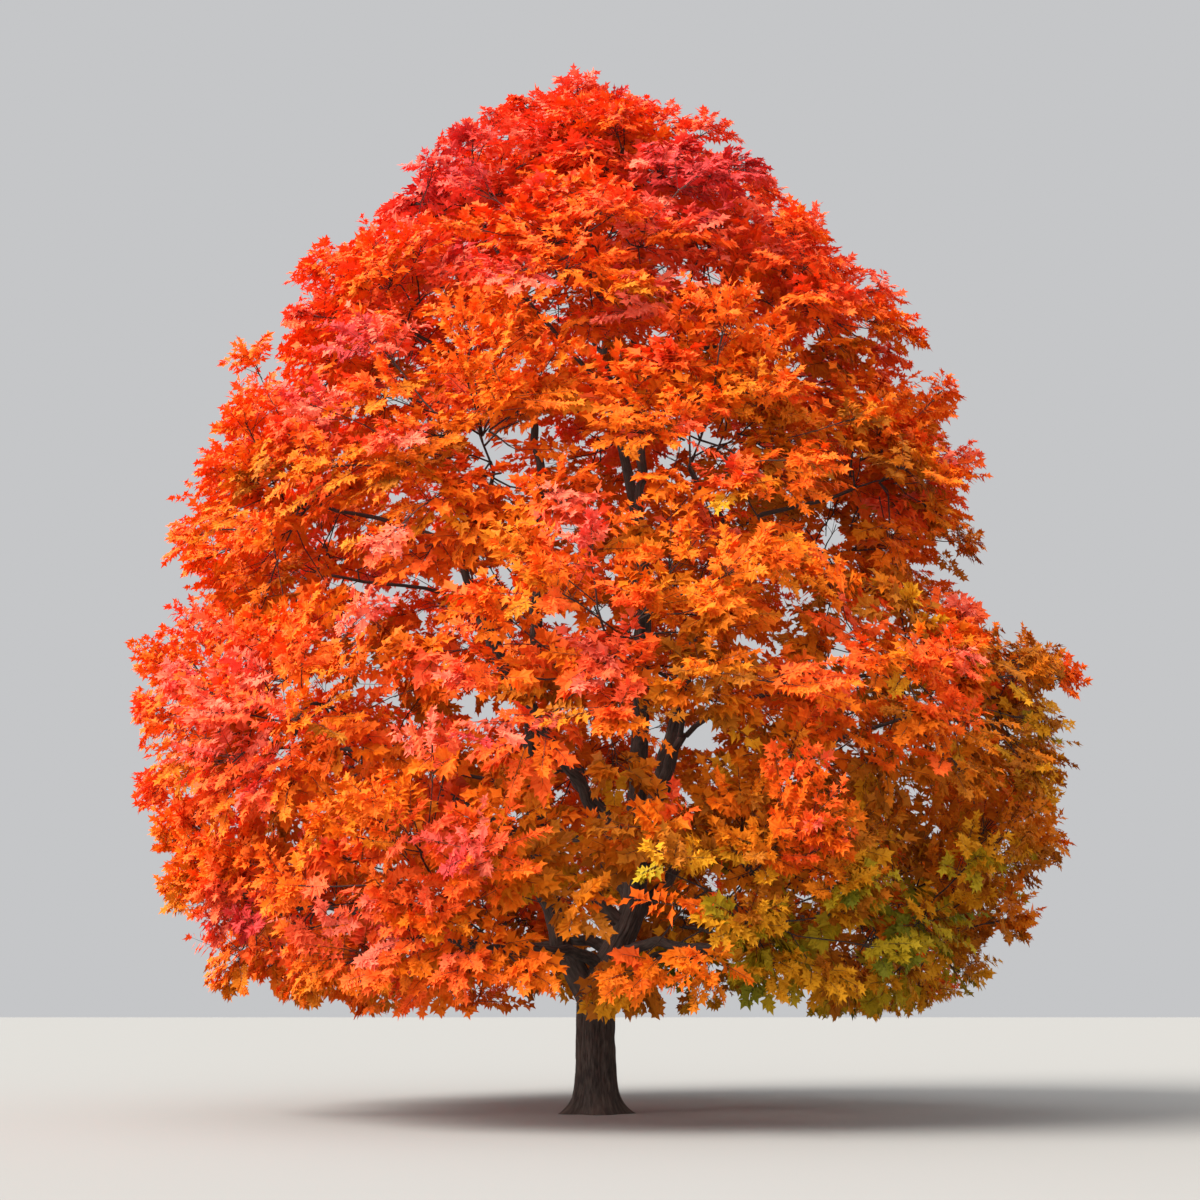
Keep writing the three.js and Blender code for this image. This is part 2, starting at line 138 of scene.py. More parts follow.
# The clumps of a mass: its own, as in the solid model, others nearer to its middle, and small ones at
# the outline. Room is what their sprays leave to the outline, drawn for each clump.
CLUMPS = (
    dict(count=15, seed=100, depth=(0.6, 0.92), size=1.0, room=(0.14, 1.3)),
    dict(count=4, seed=300, depth=(0.25, 0.6), size=0.9, room=(0.14, 0.2)),
    dict(count=8, seed=200, depth=(0.8, 0.97), size=0.55, room=(0.0, 0.55)),
)
ROOM_BIAS = 1.5  # how much likelier little room is than much
FOOT_ROOM = 0.12  # what sprays leave to the crown's foot
TWIG_INSIDE = 0.16  # how much further in the twig to a clump ends
DRAWN_IN = np.linspace(0, 0.5, 11)  # shares of the way to its mass's middle, tried in turn

# Clumps with a place of their own: at the top, before the trunk, and on the left below the dip
TUFTS = (
    dict(mass="foliage_top", at=(-0.3, -0.45, 16.35), size=0.5, room=-0.6),
    dict(mass="foliage_skirt_6", at=(-0.7, -5.0, 1.85), size=0.55, room=0.0),
    dict(mass="foliage_skirt_6", at=(-1.5, -4.9, 1.9), size=0.55, room=0.0),
    dict(mass="foliage_skirt_7", at=(0.4, -5.0, 1.85), size=0.55, room=0.0),
    dict(mass="foliage_skirt_7", at=(1.3, -5.1, 1.9), size=0.55, room=0.0),
    dict(mass="foliage_low_5", at=(-6.7, -0.2, 6.65), size=0.55, room=-0.9),
    dict(mass="foliage_low_5", at=(-6.5, 0.3, 7.0), size=0.55, room=-0.9),
    dict(mass="foliage_low_5", at=(-6.5, -1.3, 6.65), size=0.55, room=-0.9),
    dict(mass="foliage_low_5", at=(-6.1, -0.6, 7.3), size=0.55, room=-0.9),
)
TIP_TOP = 16.6  # no spray ends above this
TIP_SLOPE = 0.45  # how the crown's top falls away from its tip
TWIG_RADIUS = (0.018, 0.007)  # at its foot and its tip
TWIG_HOLD = 0.33
TWIG_BRANCH = 0.5  # share of the way to there at which a later twig may start
TWIG_BRANCH_WAY = 0.3  # point along a twig whose direction such a start has
TWIG_FORK = 0.6  # point along a twig beyond which its sprays start
GNARL_WAVES = (1.4, 0.8, 0.45)  # lengths of a limb's small bends
GNARL = 0.018  # how far they go, as a share of their length
GNARL_ENDS = 0.5  # length over which they fade at both ends
GNARL_OF_TWIGS = 0.7  # share of them that stems and twigs have
WOOD_STEP = 0.25  # between the rings of a stem or a twig
FEWEST_RINGS = 4
STEM_SIDES = 6
TWIG_SIDES = 3
ODD_WAY = np.array((0.31, 0.17, 0.93))  # a direction that no twig has
NEARLY_UPRIGHT = 0.9  # upward part of a direction from which UP is no help in squaring it

SPRAYS = 25  # tried in a clump of size 1
CLUMP_SIZE = (0.62, 0.96)  # radius of such a clump
CLUMP_FLATNESS = 0.66  # its height against its width
SPRAY_UPWARD = 0.5  # how far the sprays of a clump face up, against outward
SPRAY_BACKWARD = -0.35  # the furthest back that one points
SPRAY_SPREAD = 0.16  # chance in their directions
SPRAY_SIZE = (0.8, 1.1)  # how far they reach, against the clump's radius
SPRAY_CUTS = (1, 0.8, 0.62, 0.46, 0.3)  # shares of its size, tried in turn until it has room
SPRAY_MARGIN = -0.12  # to the edge of the mass's space, and so a little past it
SPRAY_TWIG_RADIUS = (0.0055, 0.002)
SPRAY_BARE = 0.35  # share of a spray's twig that has no leaves
SPRAY_LEAVES = 14
SHOWN = 0.87  # share of the crown's reach beyond which leaves show well and have all their lobes
SHOWN_ABOVE = 14.6  # height above which they all do
LEAST_REACH = 0.5  # of the crown, where that share is taken
MOST_FACES = 190000  # in one piece

# Maple leaves, x across and y along from the base, for a length of 1, each narrowing to a stalk:
# one with five lobes, and one with three for where it is half hidden
STALK = 0.45
LOBED = (
    np.array((
        (0.0, -STALK), (0.18, 0.48), (0.0, 1.0), (-0.18, 0.48), (0.09, 0.0), (-0.09, 0.0),
        (0.58, 0.44), (-0.58, 0.44), (0.035, -0.24), (0.45, -0.02), (-0.45, -0.02), (-0.035, -0.24),
    )),
    np.array(((0, 1, 2), (0, 2, 3), (4, 6, 1), (5, 3, 7), (8, 9, 4), (11, 5, 10))),
)
PLAIN = (
    np.array((
        (0.0, -STALK), (0.24, 0.44), (0.0, 1.0), (-0.24, 0.44),
        (0.06, -0.18), (-0.06, -0.18), (0.58, 0.30), (-0.58, 0.30),
    )),
    np.array(((0, 1, 2), (0, 2, 3), (4, 6, 1), (5, 3, 7))),
)
LEAF_LENGTH = dict(lobed=(0.105, 0.155), plain=(0.125, 0.18))
LEAF_PLACES = (0.12, 0.98)  # where the first pair stands on its twig, and how far the others go on
LEAF_ANGLES = (1.25, 0.5)  # radians between a leaf and its twig, for the first pair and at the tip
LEAF_SIZES = (1.08, 0.86)  # for the first pair and at the tip, against the usual
LEAF_DROOP = (0.05, 0.55)
LEAF_FOLD = (0.02, 0.30)  # how much its halves rise from its midrib
LEAF_CURL = (-0.05, 0.28)  # how much its tip comes down
LEAF_ARCH = 0.25  # how much its sides come down
LEAF_CHANCE = dict(angle=0.28, last_angle=0.2, way=0.12, face=0.30)  # chance in how leaves stand
LEAF_FACING = dict(up=0.45, from_clump=0.65, outward=0.55, chance=0.15)  # what a spray's leaves face

# The bark

TRUNK_SIDES = 168
TRUNK_RINGS = ((0, 0.6, 28), (0.6, 2.4, 62), (2.4, TRUNK_TIP, 44))  # from, to, and how many
TRUNK_BARK_RADIUS = 0.28  # for which the trunk's bark is drawn
BARK_FROM = (0.0, 0.05)  # heights between which the relief sets in
BARK_FLATTENS = (2.2, 5)  # heights between which the trunk's relief flattens
BARK_HIGH_UP = 0.4  # share of it that is left there
BOUGH_SIDES = 18
BOUGH_STEP = 0.08  # between the rings of a bough
PLATE_WIDTH = 0.055
PLATE_LENGTH = 0.42
FEWEST_PLATES = 6  # round a limb
FLAKE_LENGTH = 0.09
FLAKES_ACROSS = 2  # a plate
SWAY_LENGTH = 0.5  # over which the furrows wander
SWAY = 1.2  # how far they do, in plates
SWAY_PLATES = 4  # that wander together
FEWEST_SWAYS = 3  # round a limb
FURROW = (0.02, 0.2)  # from its bottom to the plate beside it, on the noise's scale
RELIEF = 0.002  # height of the plates on a thin limb
RELIEF_MORE = 0.012  # how much higher they are on a thick one
RELIEF_RADII = (0.05, 0.28)  # of a thin and of a thick limb
RELIEF_SUNK = 0.6  # share of that height that lies below the limb's smooth surface
FLAKE_RELIEF = 0.35  # height of the flakes on the plates, as a share of theirs
NOISE_ROWS = 256

# Colours and light

# Both bark tones are darker than the bark's own, partly as painted shade from the crown above
BARK_DARK = (0.020, 0.013, 0.010)
BARK_LIGHT = (0.095, 0.070, 0.056)
BARK_ROUGHNESS = 0.92
BARK_STRETCH = (1, 1, 0.16)  # of the cracks' pattern, which is drawn out along the limb
BARK_CRACKS = dict(Scale=34, Detail=7, Roughness=0.62)
BARK_PATCHES = dict(Scale=2.4, Detail=3)
BARK_PATCHES_COUNT = 0.35  # against the cracks
BARK_TONES = (0.52, 0.86)  # sums of both noises at which the bark is dark and light
BARK_BUMP = dict(Strength=0.7, Distance=0.012)
TWIG_COLOUR = (0.050, 0.034, 0.026)
TWIG_ROUGHNESS = 0.85
LEAF_ROUGHNESS = 0.6
LEAF_SHINE = 0.12

# Leaf tints from the shaded foot of the crown to its sunlit top, in sRGB. Bronze is partly painted shade,
# and the paler vermilion and coral are partly painted highlight and sky reflection.
TINTS = (
    ("olive", (116, 112, 20)),
    ("moss_gold", (172, 140, 22)),
    ("gold", (220, 148, 24)),
    ("bronze", (182, 102, 18)),
    ("amber", (218, 118, 16)),
    ("orange", (238, 114, 16)),
    ("flame", (246, 106, 20)),
    ("red_orange", (250, 98, 32)),
    ("vermilion", (250, 98, 54)),
    ("coral", (252, 118, 88)),
    ("rose", (246, 94, 76)),
    ("crimson", (214, 64, 60)),
)

# Where a spray stands from 0, olive, to 1, crimson: a usual place, and rules that move it from there,
# each by so much. height, share and right say where a rule sets in and where it has its full strength:
# metres up, share of the way out, and shares of the lower crown's reach to the right. The olive rules
# set in below a height and are full so many metres under it. The one for the foot has its middle, its
# half width and its soft edge as such shares to the right.
TINT_USUAL = 0.43
PAINTED_HIGHLIGHT_SHIFT = 0.06  # painted highlight: more, for redder tints, on the side of a clump that faces up and out, and less on the other
PAINTED_HIGHLIGHT_UPWARD = 0.9  # how far that painted-highlight side faces up, against outward
TINT_CHANCE = dict(clump=0.05, spray=0.04)
TINT_HEIGHT = 0.1  # more at the top than on the ground
PAINTED_SHADE_RIGHT = 0.05  # painted shade: less, for darker tints, for each reach to the right, away from the key light
# Redder leaves at the top, whose coral also stands in for painted highlight and sky reflection
TOP_RED_AND_HIGHLIGHT = dict(by=0.15, height=(10, 15))
RIGHT_TOP_REDDER = dict(by=0.14, right=(0.2, 0.6), height=(9.5, 13))
INSIDE_DULLER = dict(by=0.04, share=(0.5, 0.95))
FOOT_OLIVE = dict(by=0.2, below=5.5, full=4.0, right=0.2, width=0.75, edge=0.6)
# Greener, darker tints low on the right: partly leaves that have turned less, partly painted shade on the
# side away from the key light
RIGHT_OLIVE_AND_PAINTED_SHADE = dict(by=0.12, right=(-0.1, 0.7), below=11, full=6)
REDDER_CLUMPS = dict(by=0.2, share=0.1)
RED_HIGHLIGHT_PATCHES = (  # where the front of the crown is coral, redder leaves that also stand in for painted highlights on lit puffs: middle of the patch, and radius
    ((0.1, -7.0, 6.0), 0.65),
    ((0.1, -7.0, 5.2), 0.6),
    ((-2.1, -6.5, 5.0), 0.75),
    ((2.8, -6.5, 5.5), 0.7),
    ((1.1, -6.6, 4.1), 0.5),
    ((-1.8, -6.0, 3.1), 0.7),
    ((-3.1, -5.1, 2.4), 0.7),
    ((-5.0, -4.7, 5.2), 1.1),
    ((-4.8, -3.5, 2.5), 0.7),
    ((-0.2, -6.6, 7.4), 0.6),
    ((-2.3, -6.3, 6.8), 0.6),
    ((5.2, -4.7, 6.7), 0.6),
    ((4.5, -5.5, 5.5), 0.75),
    ((3.9, -5.6, 4.4), 0.45),
    ((2.7, -5.9, 3.2), 0.45),
    ((1.6, -6.1, 8.4), 0.6),
    ((-3.8, -4.6, 9.9), 0.9),
    ((-2.4, -3.2, 13.5), 1.1),
    ((1.5, -3.9, 13.3), 1.1),
)
RED_HIGHLIGHT_DEPTH = 0.4  # what a way in from the front counts, against one across
RED_HIGHLIGHT_EDGE = (0.6, 1.4)  # in radii, where such a patch starts to fade and where it has
RED_HIGHLIGHT_BY = 0.27

FLOOR_COLOUR = (0.33, 0.325, 0.314, 1)
FLOOR_ROUGHNESS = 0.9
FLOOR_REACH = 400  # from the trunk to its edges
FLOOR_BELOW = 0.001  # how far it lies under the trunk's foot
SKY_COLOUR = (0.90, 0.91, 0.93, 1)
SKY_STRENGTH = 0.62
SUNS = (  # soft distant lights: tipped is how far from overhead, and spread and bearing are degrees too
    dict(name="key", energy=6.0, spread=40, colour=(1.0, 0.96, 0.90), tipped=50, bearing=-60),
    dict(name="fill", energy=2.7, spread=140, colour=(0.96, 0.98, 1.0), tipped=55, bearing=-58),
)
CAMERA_AT = (0.07, -26.6, 1.45)  # eye height
CAMERA_TILT = 13.2  # degrees up to the crown
CAMERA_FIELD = 37.8  # degrees that the picture spans
CAMERA_SENSOR = 36  # mm
CAMERA_END = 2000  # how far it sees

UP = np.array((0.0, 0.0, 1.0))


# Shared arithmetic

def mix(a, b, t):
    return a + (b - a) * t


def smooth(value, start, end):
    """From 0 before start to 1 after end, with no kink."""
    t = np.clip((value - start) / (end - start), 0, 1)
    return t * t * (3 - 2 * t)


def unit(v):
    v = np.asarray(v, float)
    return v / np.maximum(np.linalg.norm(v, axis=-1, keepdims=True), 1e-12)


def dot(a, b):
    return (a * b).sum(-1)


def stream(seed):
    """The solid model's seeded stream of numbers from 0 to 1."""
    factor, added = STREAM_START
    state = seed * factor + added
    while True:
        state = (state * STREAM_FACTOR) % STREAM_PRIME
        yield state / STREAM_PRIME


def taper_at(z):
    """The trunk's radius at a height, less its flare."""
    heights, radii = zip(*TRUNK_TAPER)
    return np.interp(z, heights, radii)


def srgb(colour):
    """Linear colour from an sRGB one in bytes."""
    c = np.array(colour) / 255
    return tuple(np.where(c <= 0.04045, c / 12.92, ((c + 0.055) / 1.055) ** 2.4)) + (1.0,)


# The crown's outline

def profile(z):
    """The crown's reach at a height, as a share of its reach where it is widest."""
    above = z > CROWN_WIDEST
    span = np.where(above, CROWN_TOP - CROWN_WIDEST, CROWN_WIDEST - CROWN_FOOT)
    u = np.clip(np.abs(z - CROWN_WIDEST) / span, 0, 1)
    inner = np.where(above, UPPER_BULGE[0], LOWER_BULGE[0])
    outer = np.where(above, UPPER_BULGE[1], LOWER_BULGE[1])
    return (1 - u ** inner) ** outer


def crown_reach(z, bearing):
    """How far the crown reaches from the upright axis."""
    part = smooth(z, *CROWN_PARTS)
    right = np.cos(bearing)
    reach = mix(*CROWN_REACH, part) + mix(*CROWN_LEAN, part) * right
    from_notch = (z - NOTCH["height"] - NOTCH["rise"] * right) / NOTCH["spread"]
    dip = NOTCH["depth"] * right ** 2 * np.exp(-(from_notch ** 2))
    return reach * profile(z) * (1 - dip)


def inside_crown(p, room=0.0):
    """Whether points are in the crown's shell, with this room to its outline."""
    out = np.hypot(p[..., 0], p[..., 1])
    reach = crown_reach(p[..., 2], np.arctan2(p[..., 1], p[..., 0]))
    bare = HOLLOW * (1 - smooth(p[..., 2], *HOLLOW_FADES))
    below_top = p[..., 2] < CROWN_TOP - room
    above_foot = p[..., 2] > CROWN_FOOT + min(room, FOOT_ROOM)
    return (out < reach - room) & (out > reach * bare) & below_top & above_foot


def outward(p):
    """The way in which foliage faces at some points."""
    p = np.asarray(p, float)
    return unit(np.stack([p[..., 0], p[..., 1], ROUNDNESS * (p[..., 2] - CROWN_WIDEST)], -1))


# The trunk and the boughs

def trunk_axis(z):
    """Points on the trunk's slightly bent middle line."""
    z = np.asarray(z, float)
    p = np.stack([np.zeros_like(z), np.zeros_like(z), z], -1)
    for axis, by, start, end in TRUNK_STEPS:
        p[..., axis] += by * smooth(z, start, end)
    return p


def trunk_radius(z, bearing):
    """The trunk's radius with its flare, buttresses and flutes."""
    swell = np.exp(-z / FLARE_HEIGHT)
    lobes = BUTTRESS_DEPTH * swell * np.cos(BUTTRESSES * bearing + LOBES_TURNED[0])
    fluted = FLUTE_DEPTH * (1 - smooth(z, *FLUTES_FADE))
    flutes = fluted * np.cos(FLUTES * bearing + LOBES_TURNED[1])
    return (taper_at(z) + FLARE * swell) * (1 + lobes) * (1 + flutes)


def pitched(bearing, pitch):
    """A direction from its bearing and its slope, in radians."""
    level = math.cos(pitch)
    return np.array((math.cos(bearing) * level, math.sin(bearing) * level, math.sin(pitch)))


class Bezier:
    """A cubic curve that leaves its start one way and reaches its end another."""

    def __init__(self, start, start_way, end, end_way, hold):
        span = np.linalg.norm(end - start) * hold
        self.points = (start, start + start_way * span, end - end_way * span, end)

    def at(self, t):
        t = np.asarray(t, float)[..., None]
        a, b, c, d = self.points
        return a * (1 - t) ** 3 + b * 3 * t * (1 - t) ** 2 + c * 3 * t * t * (1 - t) + d * t ** 3

    def way(self, t):
        t = np.asarray(t, float)[..., None]
        a, b, c, d = self.points
        return unit((b - a) * (1 - t) ** 2 + (c - b) * 2 * t * (1 - t) + (d - c) * t * t)

    def length(self):
        path = self.at(np.linspace(0, 1, LENGTH_POINTS))
        return np.linalg.norm(np.diff(path, axis=0), axis=1).sum()


def make_bough(ring, k, bearing):
    """A ring's bough: its curve from the trunk's axis to its tip, and its radius along it."""
    start = trunk_axis(ring["leave"][k])
    end = pitched(bearing, 0) * crown_reach(ring["height"], bearing) * ring["tips"][k]
    end[2] = ring["height"] - ring["tip_drop"] + ring["tilt"] * end[0]
    heading = math.atan2(end[1] - start[1], end[0] - start[0])
    leave_pitch, tip_pitch = np.radians(ring["pitch"])
    curve = Bezier(start, pitched(heading, leave_pitch), end, pitched(bearing, tip_pitch), BOUGH_HOLD)
    share, tip_radius = ring["radius"]
    root_radius = share * taper_at(ring["leave"][k])

    def radius_at(t):
        collar = 1 + COLLAR * np.exp(-t * COLLAR_FADE)
        return mix(root_radius, tip_radius, t ** BOUGH_THINNING) * collar

    return dict(name=f"bough_{ring['name']}_{k + 1}", curve=curve, radius_at=radius_at)


def plan_crown():
    """The boughs, and the masses with the limb that carries each."""
    boughs = []
    masses = []
    for level, ring in enumerate(RINGS):
        draw = stream(SEED + level)
        count = ring["masses"]
        step = 360 / count
        in_ring = []
        for k in range(count):
            bearing = math.radians(ring["first"] + k * step + mix(-1, 1, next(draw)) * BEARING_JITTER)
            height = ring["height"] + mix(-1, 1, next(draw)) * HEIGHT_JITTER
            share = ring["ring"] + mix(-1, 1, next(draw)) * RING_JITTER if ring["ring"] else 0
            middle = pitched(bearing, 0) * crown_reach(height, bearing) * share
            middle[0] += ring.get("x", 0)
            middle[2] = height + ring["tilt"] * middle[0]
            suffix = "" if count == 1 else f"_{k + 1}"
            in_ring.append(dict(name=f"foliage_{ring['name']}{suffix}", ring=ring, middle=middle, k=k))
        if "radius" in ring:
            for k in range(count // 2):
                bough = make_bough(ring, k, math.radians(ring["first"] + (2 * k + 0.5) * step))
                boughs.append(bough)
                in_ring[2 * k].update(bough=bough, side=-1)
                in_ring[2 * k + 1].update(bough=bough, side=1)
        masses += in_ring
    return boughs, masses


# A mass's own space, and how its wood grows in it

BOUGHS, MASSES = plan_crown()
MIDDLES = np.array([m["middle"] for m in MASSES])
APART = np.linalg.norm(MIDDLES[:, None] - MIDDLES[None], axis=-1)


def in_space(p, index, margin=MARGIN, room=0.0):
    """Whether points are in the crown and nearer to this mass's middle than to any other."""
    squared = ((p[..., None, :] - MIDDLES) ** 2).sum(-1)
    beyond = squared - squared[..., index, None] - 2 * margin * APART[index]
    beyond[..., index] = 1
    return inside_crown(p, room) & (beyond > 0).all(-1)


def reach_from(point, way, index):
    """How far the mass's space goes on from a point."""
    steps = MARCH * np.arange(1, MARCH_STEPS + 1)
    out = ~in_space(point + way * steps[:, None], index)
    return MARCH * int(np.argmax(out)) if out.any() else steps[-1]


def clumps_of(index, count, draw, depth, there):
    """Clumps of foliage in a mass, each the one of several tries that is furthest from the rest."""
    middle = MIDDLES[index]
    facing = outward(middle) * CLUMP_LEAN
    clumps = list(there)
    for _ in range(count):
        best = None
        for _ in range(CLUMP_TRIES):
            z = mix(-1, 1, next(draw))
            turn = next(draw) * 2 * math.pi
            level = math.sqrt(1 - z * z)
            way = unit(np.array((level * math.cos(turn), level * math.sin(turn), z)) + facing)
            out = reach_from(middle, way, index) * mix(*depth, next(draw))
            at = middle + way * out
            apart = min([np.linalg.norm(c - at) for c in clumps] + [CLUMP_FARTHEST])
            gap = apart + CLUMP_OUTER * out
            if best is None or gap > best[0]:
                best = (gap, at)
        clumps.append(best[1])
    return clumps[len(there):]


def stem_of(mass):
    """A mass's stem, from its bough's tip beside the other stem of the pair, or from the trunk."""
    middle = mass["middle"]
    end = middle - outward(middle) * STEM_SHORT
    if "bough" in mass:
        way = mass["bough"]["curve"].way(1.0)
        beside = unit(np.cross(UP, way))
        start = mass["bough"]["curve"].at(1.0) + beside * mass["side"] * (STEM_RADIUS[0] + STEM_APART)
    elif mass["ring"]["masses"] == 1:
        start = trunk_axis(TRUNK_TIP)
        way = UP
    else:
        start = trunk_axis(mass["ring"]["leave"][mass["k"]])
        way = pitched(math.atan2(middle[1], middle[0]), math.radians(STEM_PITCH))
    return Bezier(start, way, end, outward(middle), STEM_HOLD)


def grow_mass(index, rng):
    """The limbs of a mass, which are its stem and its twigs, and its clumps.

    A limb is a curve with its radii at both ends. A clump is its place, the place on its twig
    from which its sprays start, its size and the room that it leaves to the outline.
    """
    mass = MASSES[index]
    middle = mass["middle"]
    stem = stem_of(mass)
    wood = [(stem.at(t), stem.way(t), stem.length() * t) for t in STEM_BRANCHES]
    limbs = [(stem, STEM_RADIUS)]
    clumps = []
    own = []
    for kind in CLUMPS:
        places = clumps_of(index, kind["count"], stream(SEED * kind["seed"] + index), kind["depth"], own)
        own = own or places
        size = kind["size"]
        for at in sorted(places, key=lambda c: np.linalg.norm(c - middle)):
            root = mix(middle, at, SPRAY_ROOT)
            start, way, along = min(wood, key=lambda w: np.linalg.norm(w[0] - root) + DETOUR * w[2])
            room = mix(*kind["room"], rng.random() ** ROOM_BIAS)
            at = drawn_in(at, middle, room + TWIG_INSIDE)
            twig = Bezier(start, unit(way + unit(root - start)), at, unit(at - root), TWIG_HOLD)
            limbs.append((twig, (TWIG_RADIUS[0] * size, TWIG_RADIUS[1])))
            branch_along = along + np.linalg.norm(root - start) * TWIG_BRANCH
            wood.append((mix(start, root, TWIG_BRANCH), twig.way(TWIG_BRANCH_WAY), branch_along))
            clumps.append((at, twig.at(TWIG_FORK), size, room))
    return limbs, clumps


def grow_tuft(tuft):
    """The same for a clump with a place of its own, whose twig comes from its mass's middle."""
    index = [m["name"] for m in MASSES].index(tuft["mass"])
    at = np.array(tuft["at"])
    middle = MIDDLES[index]
    way = unit(at - middle)
    twig = Bezier(middle, way, at, way, TWIG_HOLD)
    clump = (at, mix(middle, at, TWIG_FORK), tuft["size"], tuft["room"])
    return index, [(twig, TWIG_RADIUS)], [clump]


def drawn_in(at, middle, room):
    """A clump's place, moved towards its mass's middle until it has this room to the outline."""
    for share in DRAWN_IN:
        place = mix(at, middle, share)
        if inside_crown(place, room):
            break
    return place


# Meshes from arrays

def new_object(name, vertices, faces, material, smooth_shaded):
    """An object from arrays of vertices and of faces, with one row of corners for each face."""
    mesh = bpy.data.meshes.new(name)
    corners = faces.shape[1]
    mesh.vertices.add(len(vertices))
    mesh.vertices.foreach_set("co", np.ascontiguousarray(vertices, np.float32).ravel())
    mesh.loops.add(faces.size)
    mesh.loops.foreach_set("vertex_index", np.ascontiguousarray(faces, np.int32).ravel())
    mesh.polygons.add(len(faces))
    mesh.polygons.foreach_set("loop_start", np.arange(0, faces.size, corners, dtype=np.int32))
    mesh.update(calc_edges=True)
    mesh.polygons.foreach_set("use_smooth", np.full(len(faces), smooth_shaded))
    mesh.materials.append(material)
    made = bpy.data.objects.new(name, mesh)
    bpy.context.collection.objects.link(made)
    return made


def place_piece(made, nodes):
    """Fixes a piece to the tree's body, in place of these nodes of the solid model."""
    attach(made, "root")
    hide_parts(*nodes)


def rings_to_faces(rings, sides, start=0):
    """Quads between rings of vertices, as triangles."""
    ring = np.arange(rings - 1)[:, None] * sides
    side = np.arange(sides)[None]
    a = start + ring + side
    b = start + ring + (side + 1) % sides
    lower = np.stack([a, b, b + sides], -1)
    upper = np.stack([a, b + sides, a + sides], -1)
    return np.concatenate([lower.reshape(-1, 3), upper.reshape(-1, 3)])


def frames_along(path):
    """Two directions square to a path and to each other, which turn with it as little as they can."""
    ways = unit(np.gradient(path, axis=0))
    square_to = UP if abs(ways[0][2]) < NEARLY_UPRIGHT else (1.0, 0.0, 0.0)
    side = unit(np.cross(square_to, ways[0]))
    sides = []
    for way in ways:
        side = unit(side - way * dot(side, way))
        sides.append(side)
    sides = np.array(sides)
    return sides, np.cross(ways, sides)


def swept(path, radii, sides):
    """The vertices of a tube: radii has a radius for each point of the path, or one for each vertex."""
    side, other = frames_along(path)
    angle = np.arange(sides) * 2 * math.pi / sides
    around = side[:, None] * np.cos(angle)[:, None] + other[:, None] * np.sin(angle)[:, None]
    radii = np.broadcast_to(np.reshape(radii, (len(path), -1)), (len(path), sides))
    return path[:, None] + around * radii[..., None]


# Bark: furrows that run up the limb, part and meet again

def value_noise(u, v, columns, seed):
    """Smooth noise over a grid that closes round the limb: u in turns, v in cells."""
    table = np.random.default_rng(seed).random((NOISE_ROWS, columns))
    x = (u % 1) * columns
    y = v % NOISE_ROWS
    x0 = np.floor(x).astype(int)
    y0 = np.floor(y).astype(int)
    x1 = (x0 + 1) % columns
    y1 = (y0 + 1) % NOISE_ROWS
    across = smooth(x - x0, 0, 1)
    up = smooth(y - y0, 0, 1)
    x0 = x0 % columns
    y0 = y0 % NOISE_ROWS
    low = mix(table[y0, x0], table[y0, x1], across)
    high = mix(table[y1, x0], table[y1, x1], across)
    return mix(low, high, up)


def bark_relief(turns, along, radius, seed):
    """Height of the bark over the limb's own surface, in metres."""
    plates = max(FEWEST_PLATES, int(2 * math.pi * radius / PLATE_WIDTH))
    sways = max(FEWEST_SWAYS, plates // SWAY_PLATES)
    sway = value_noise(turns, along / SWAY_LENGTH, sways, seed) - 0.5
    ridges = value_noise(turns + sway * SWAY / plates, along / PLATE_LENGTH, plates, seed + 1)
    flakes = value_noise(turns, along / FLAKE_LENGTH, plates * FLAKES_ACROSS, seed + 2)
    plate = smooth(np.abs(ridges - 0.5), *FURROW)
    deep = RELIEF_MORE * smooth(radius, *RELIEF_RADII) + RELIEF
    return deep * (plate - RELIEF_SUNK) + FLAKE_RELIEF * deep * (flakes - 0.5)


def bark_place(made, radius, along, sides, caps):
    """Keeps where each vertex lies round and along its limb, for the bark's pattern."""
    angle = np.arange(sides) * 2 * math.pi / sides
    rim = np.stack([np.cos(angle), np.sin(angle)], -1) * radius
    place = np.zeros((len(along), sides, 3))
    place[..., :2] = rim
    place[..., 2] = along[:, None]
    place = np.concatenate([place.reshape(-1, 3), [(0, 0, along[row]) for row in caps]])
    kept = made.data.attributes.new("bark_place", "FLOAT_VECTOR", "POINT")
    kept.data.foreach_set("vector", place.astype(np.float32).ravel())


def bark_limb(name, path, radii, along, seed, material):
    """A bough with the bark's relief. Its foot is open, inside the trunk."""
    first = np.arange(BOUGH_SIDES)
    usual = float(np.mean(radii))
    relief = bark_relief(first[None] / BOUGH_SIDES, along[:, None], usual, seed)
    vertices = swept(path, np.reshape(radii, (len(path), -1)) + relief, BOUGH_SIDES)
    faces = rings_to_faces(len(path), BOUGH_SIDES)
    tip = len(path) * BOUGH_SIDES
    last = tip - BOUGH_SIDES
    cap = np.stack([np.full(BOUGH_SIDES, tip), last + first, last + (first + 1) % BOUGH_SIDES], -1)
    vertices = np.concatenate([vertices.reshape(-1, 3), path[-1:]])
    made = new_object(name, vertices, np.concatenate([faces, cap]), material, True)
    bark_place(made, usual, along + seed, BOUGH_SIDES, [-1])
    return made


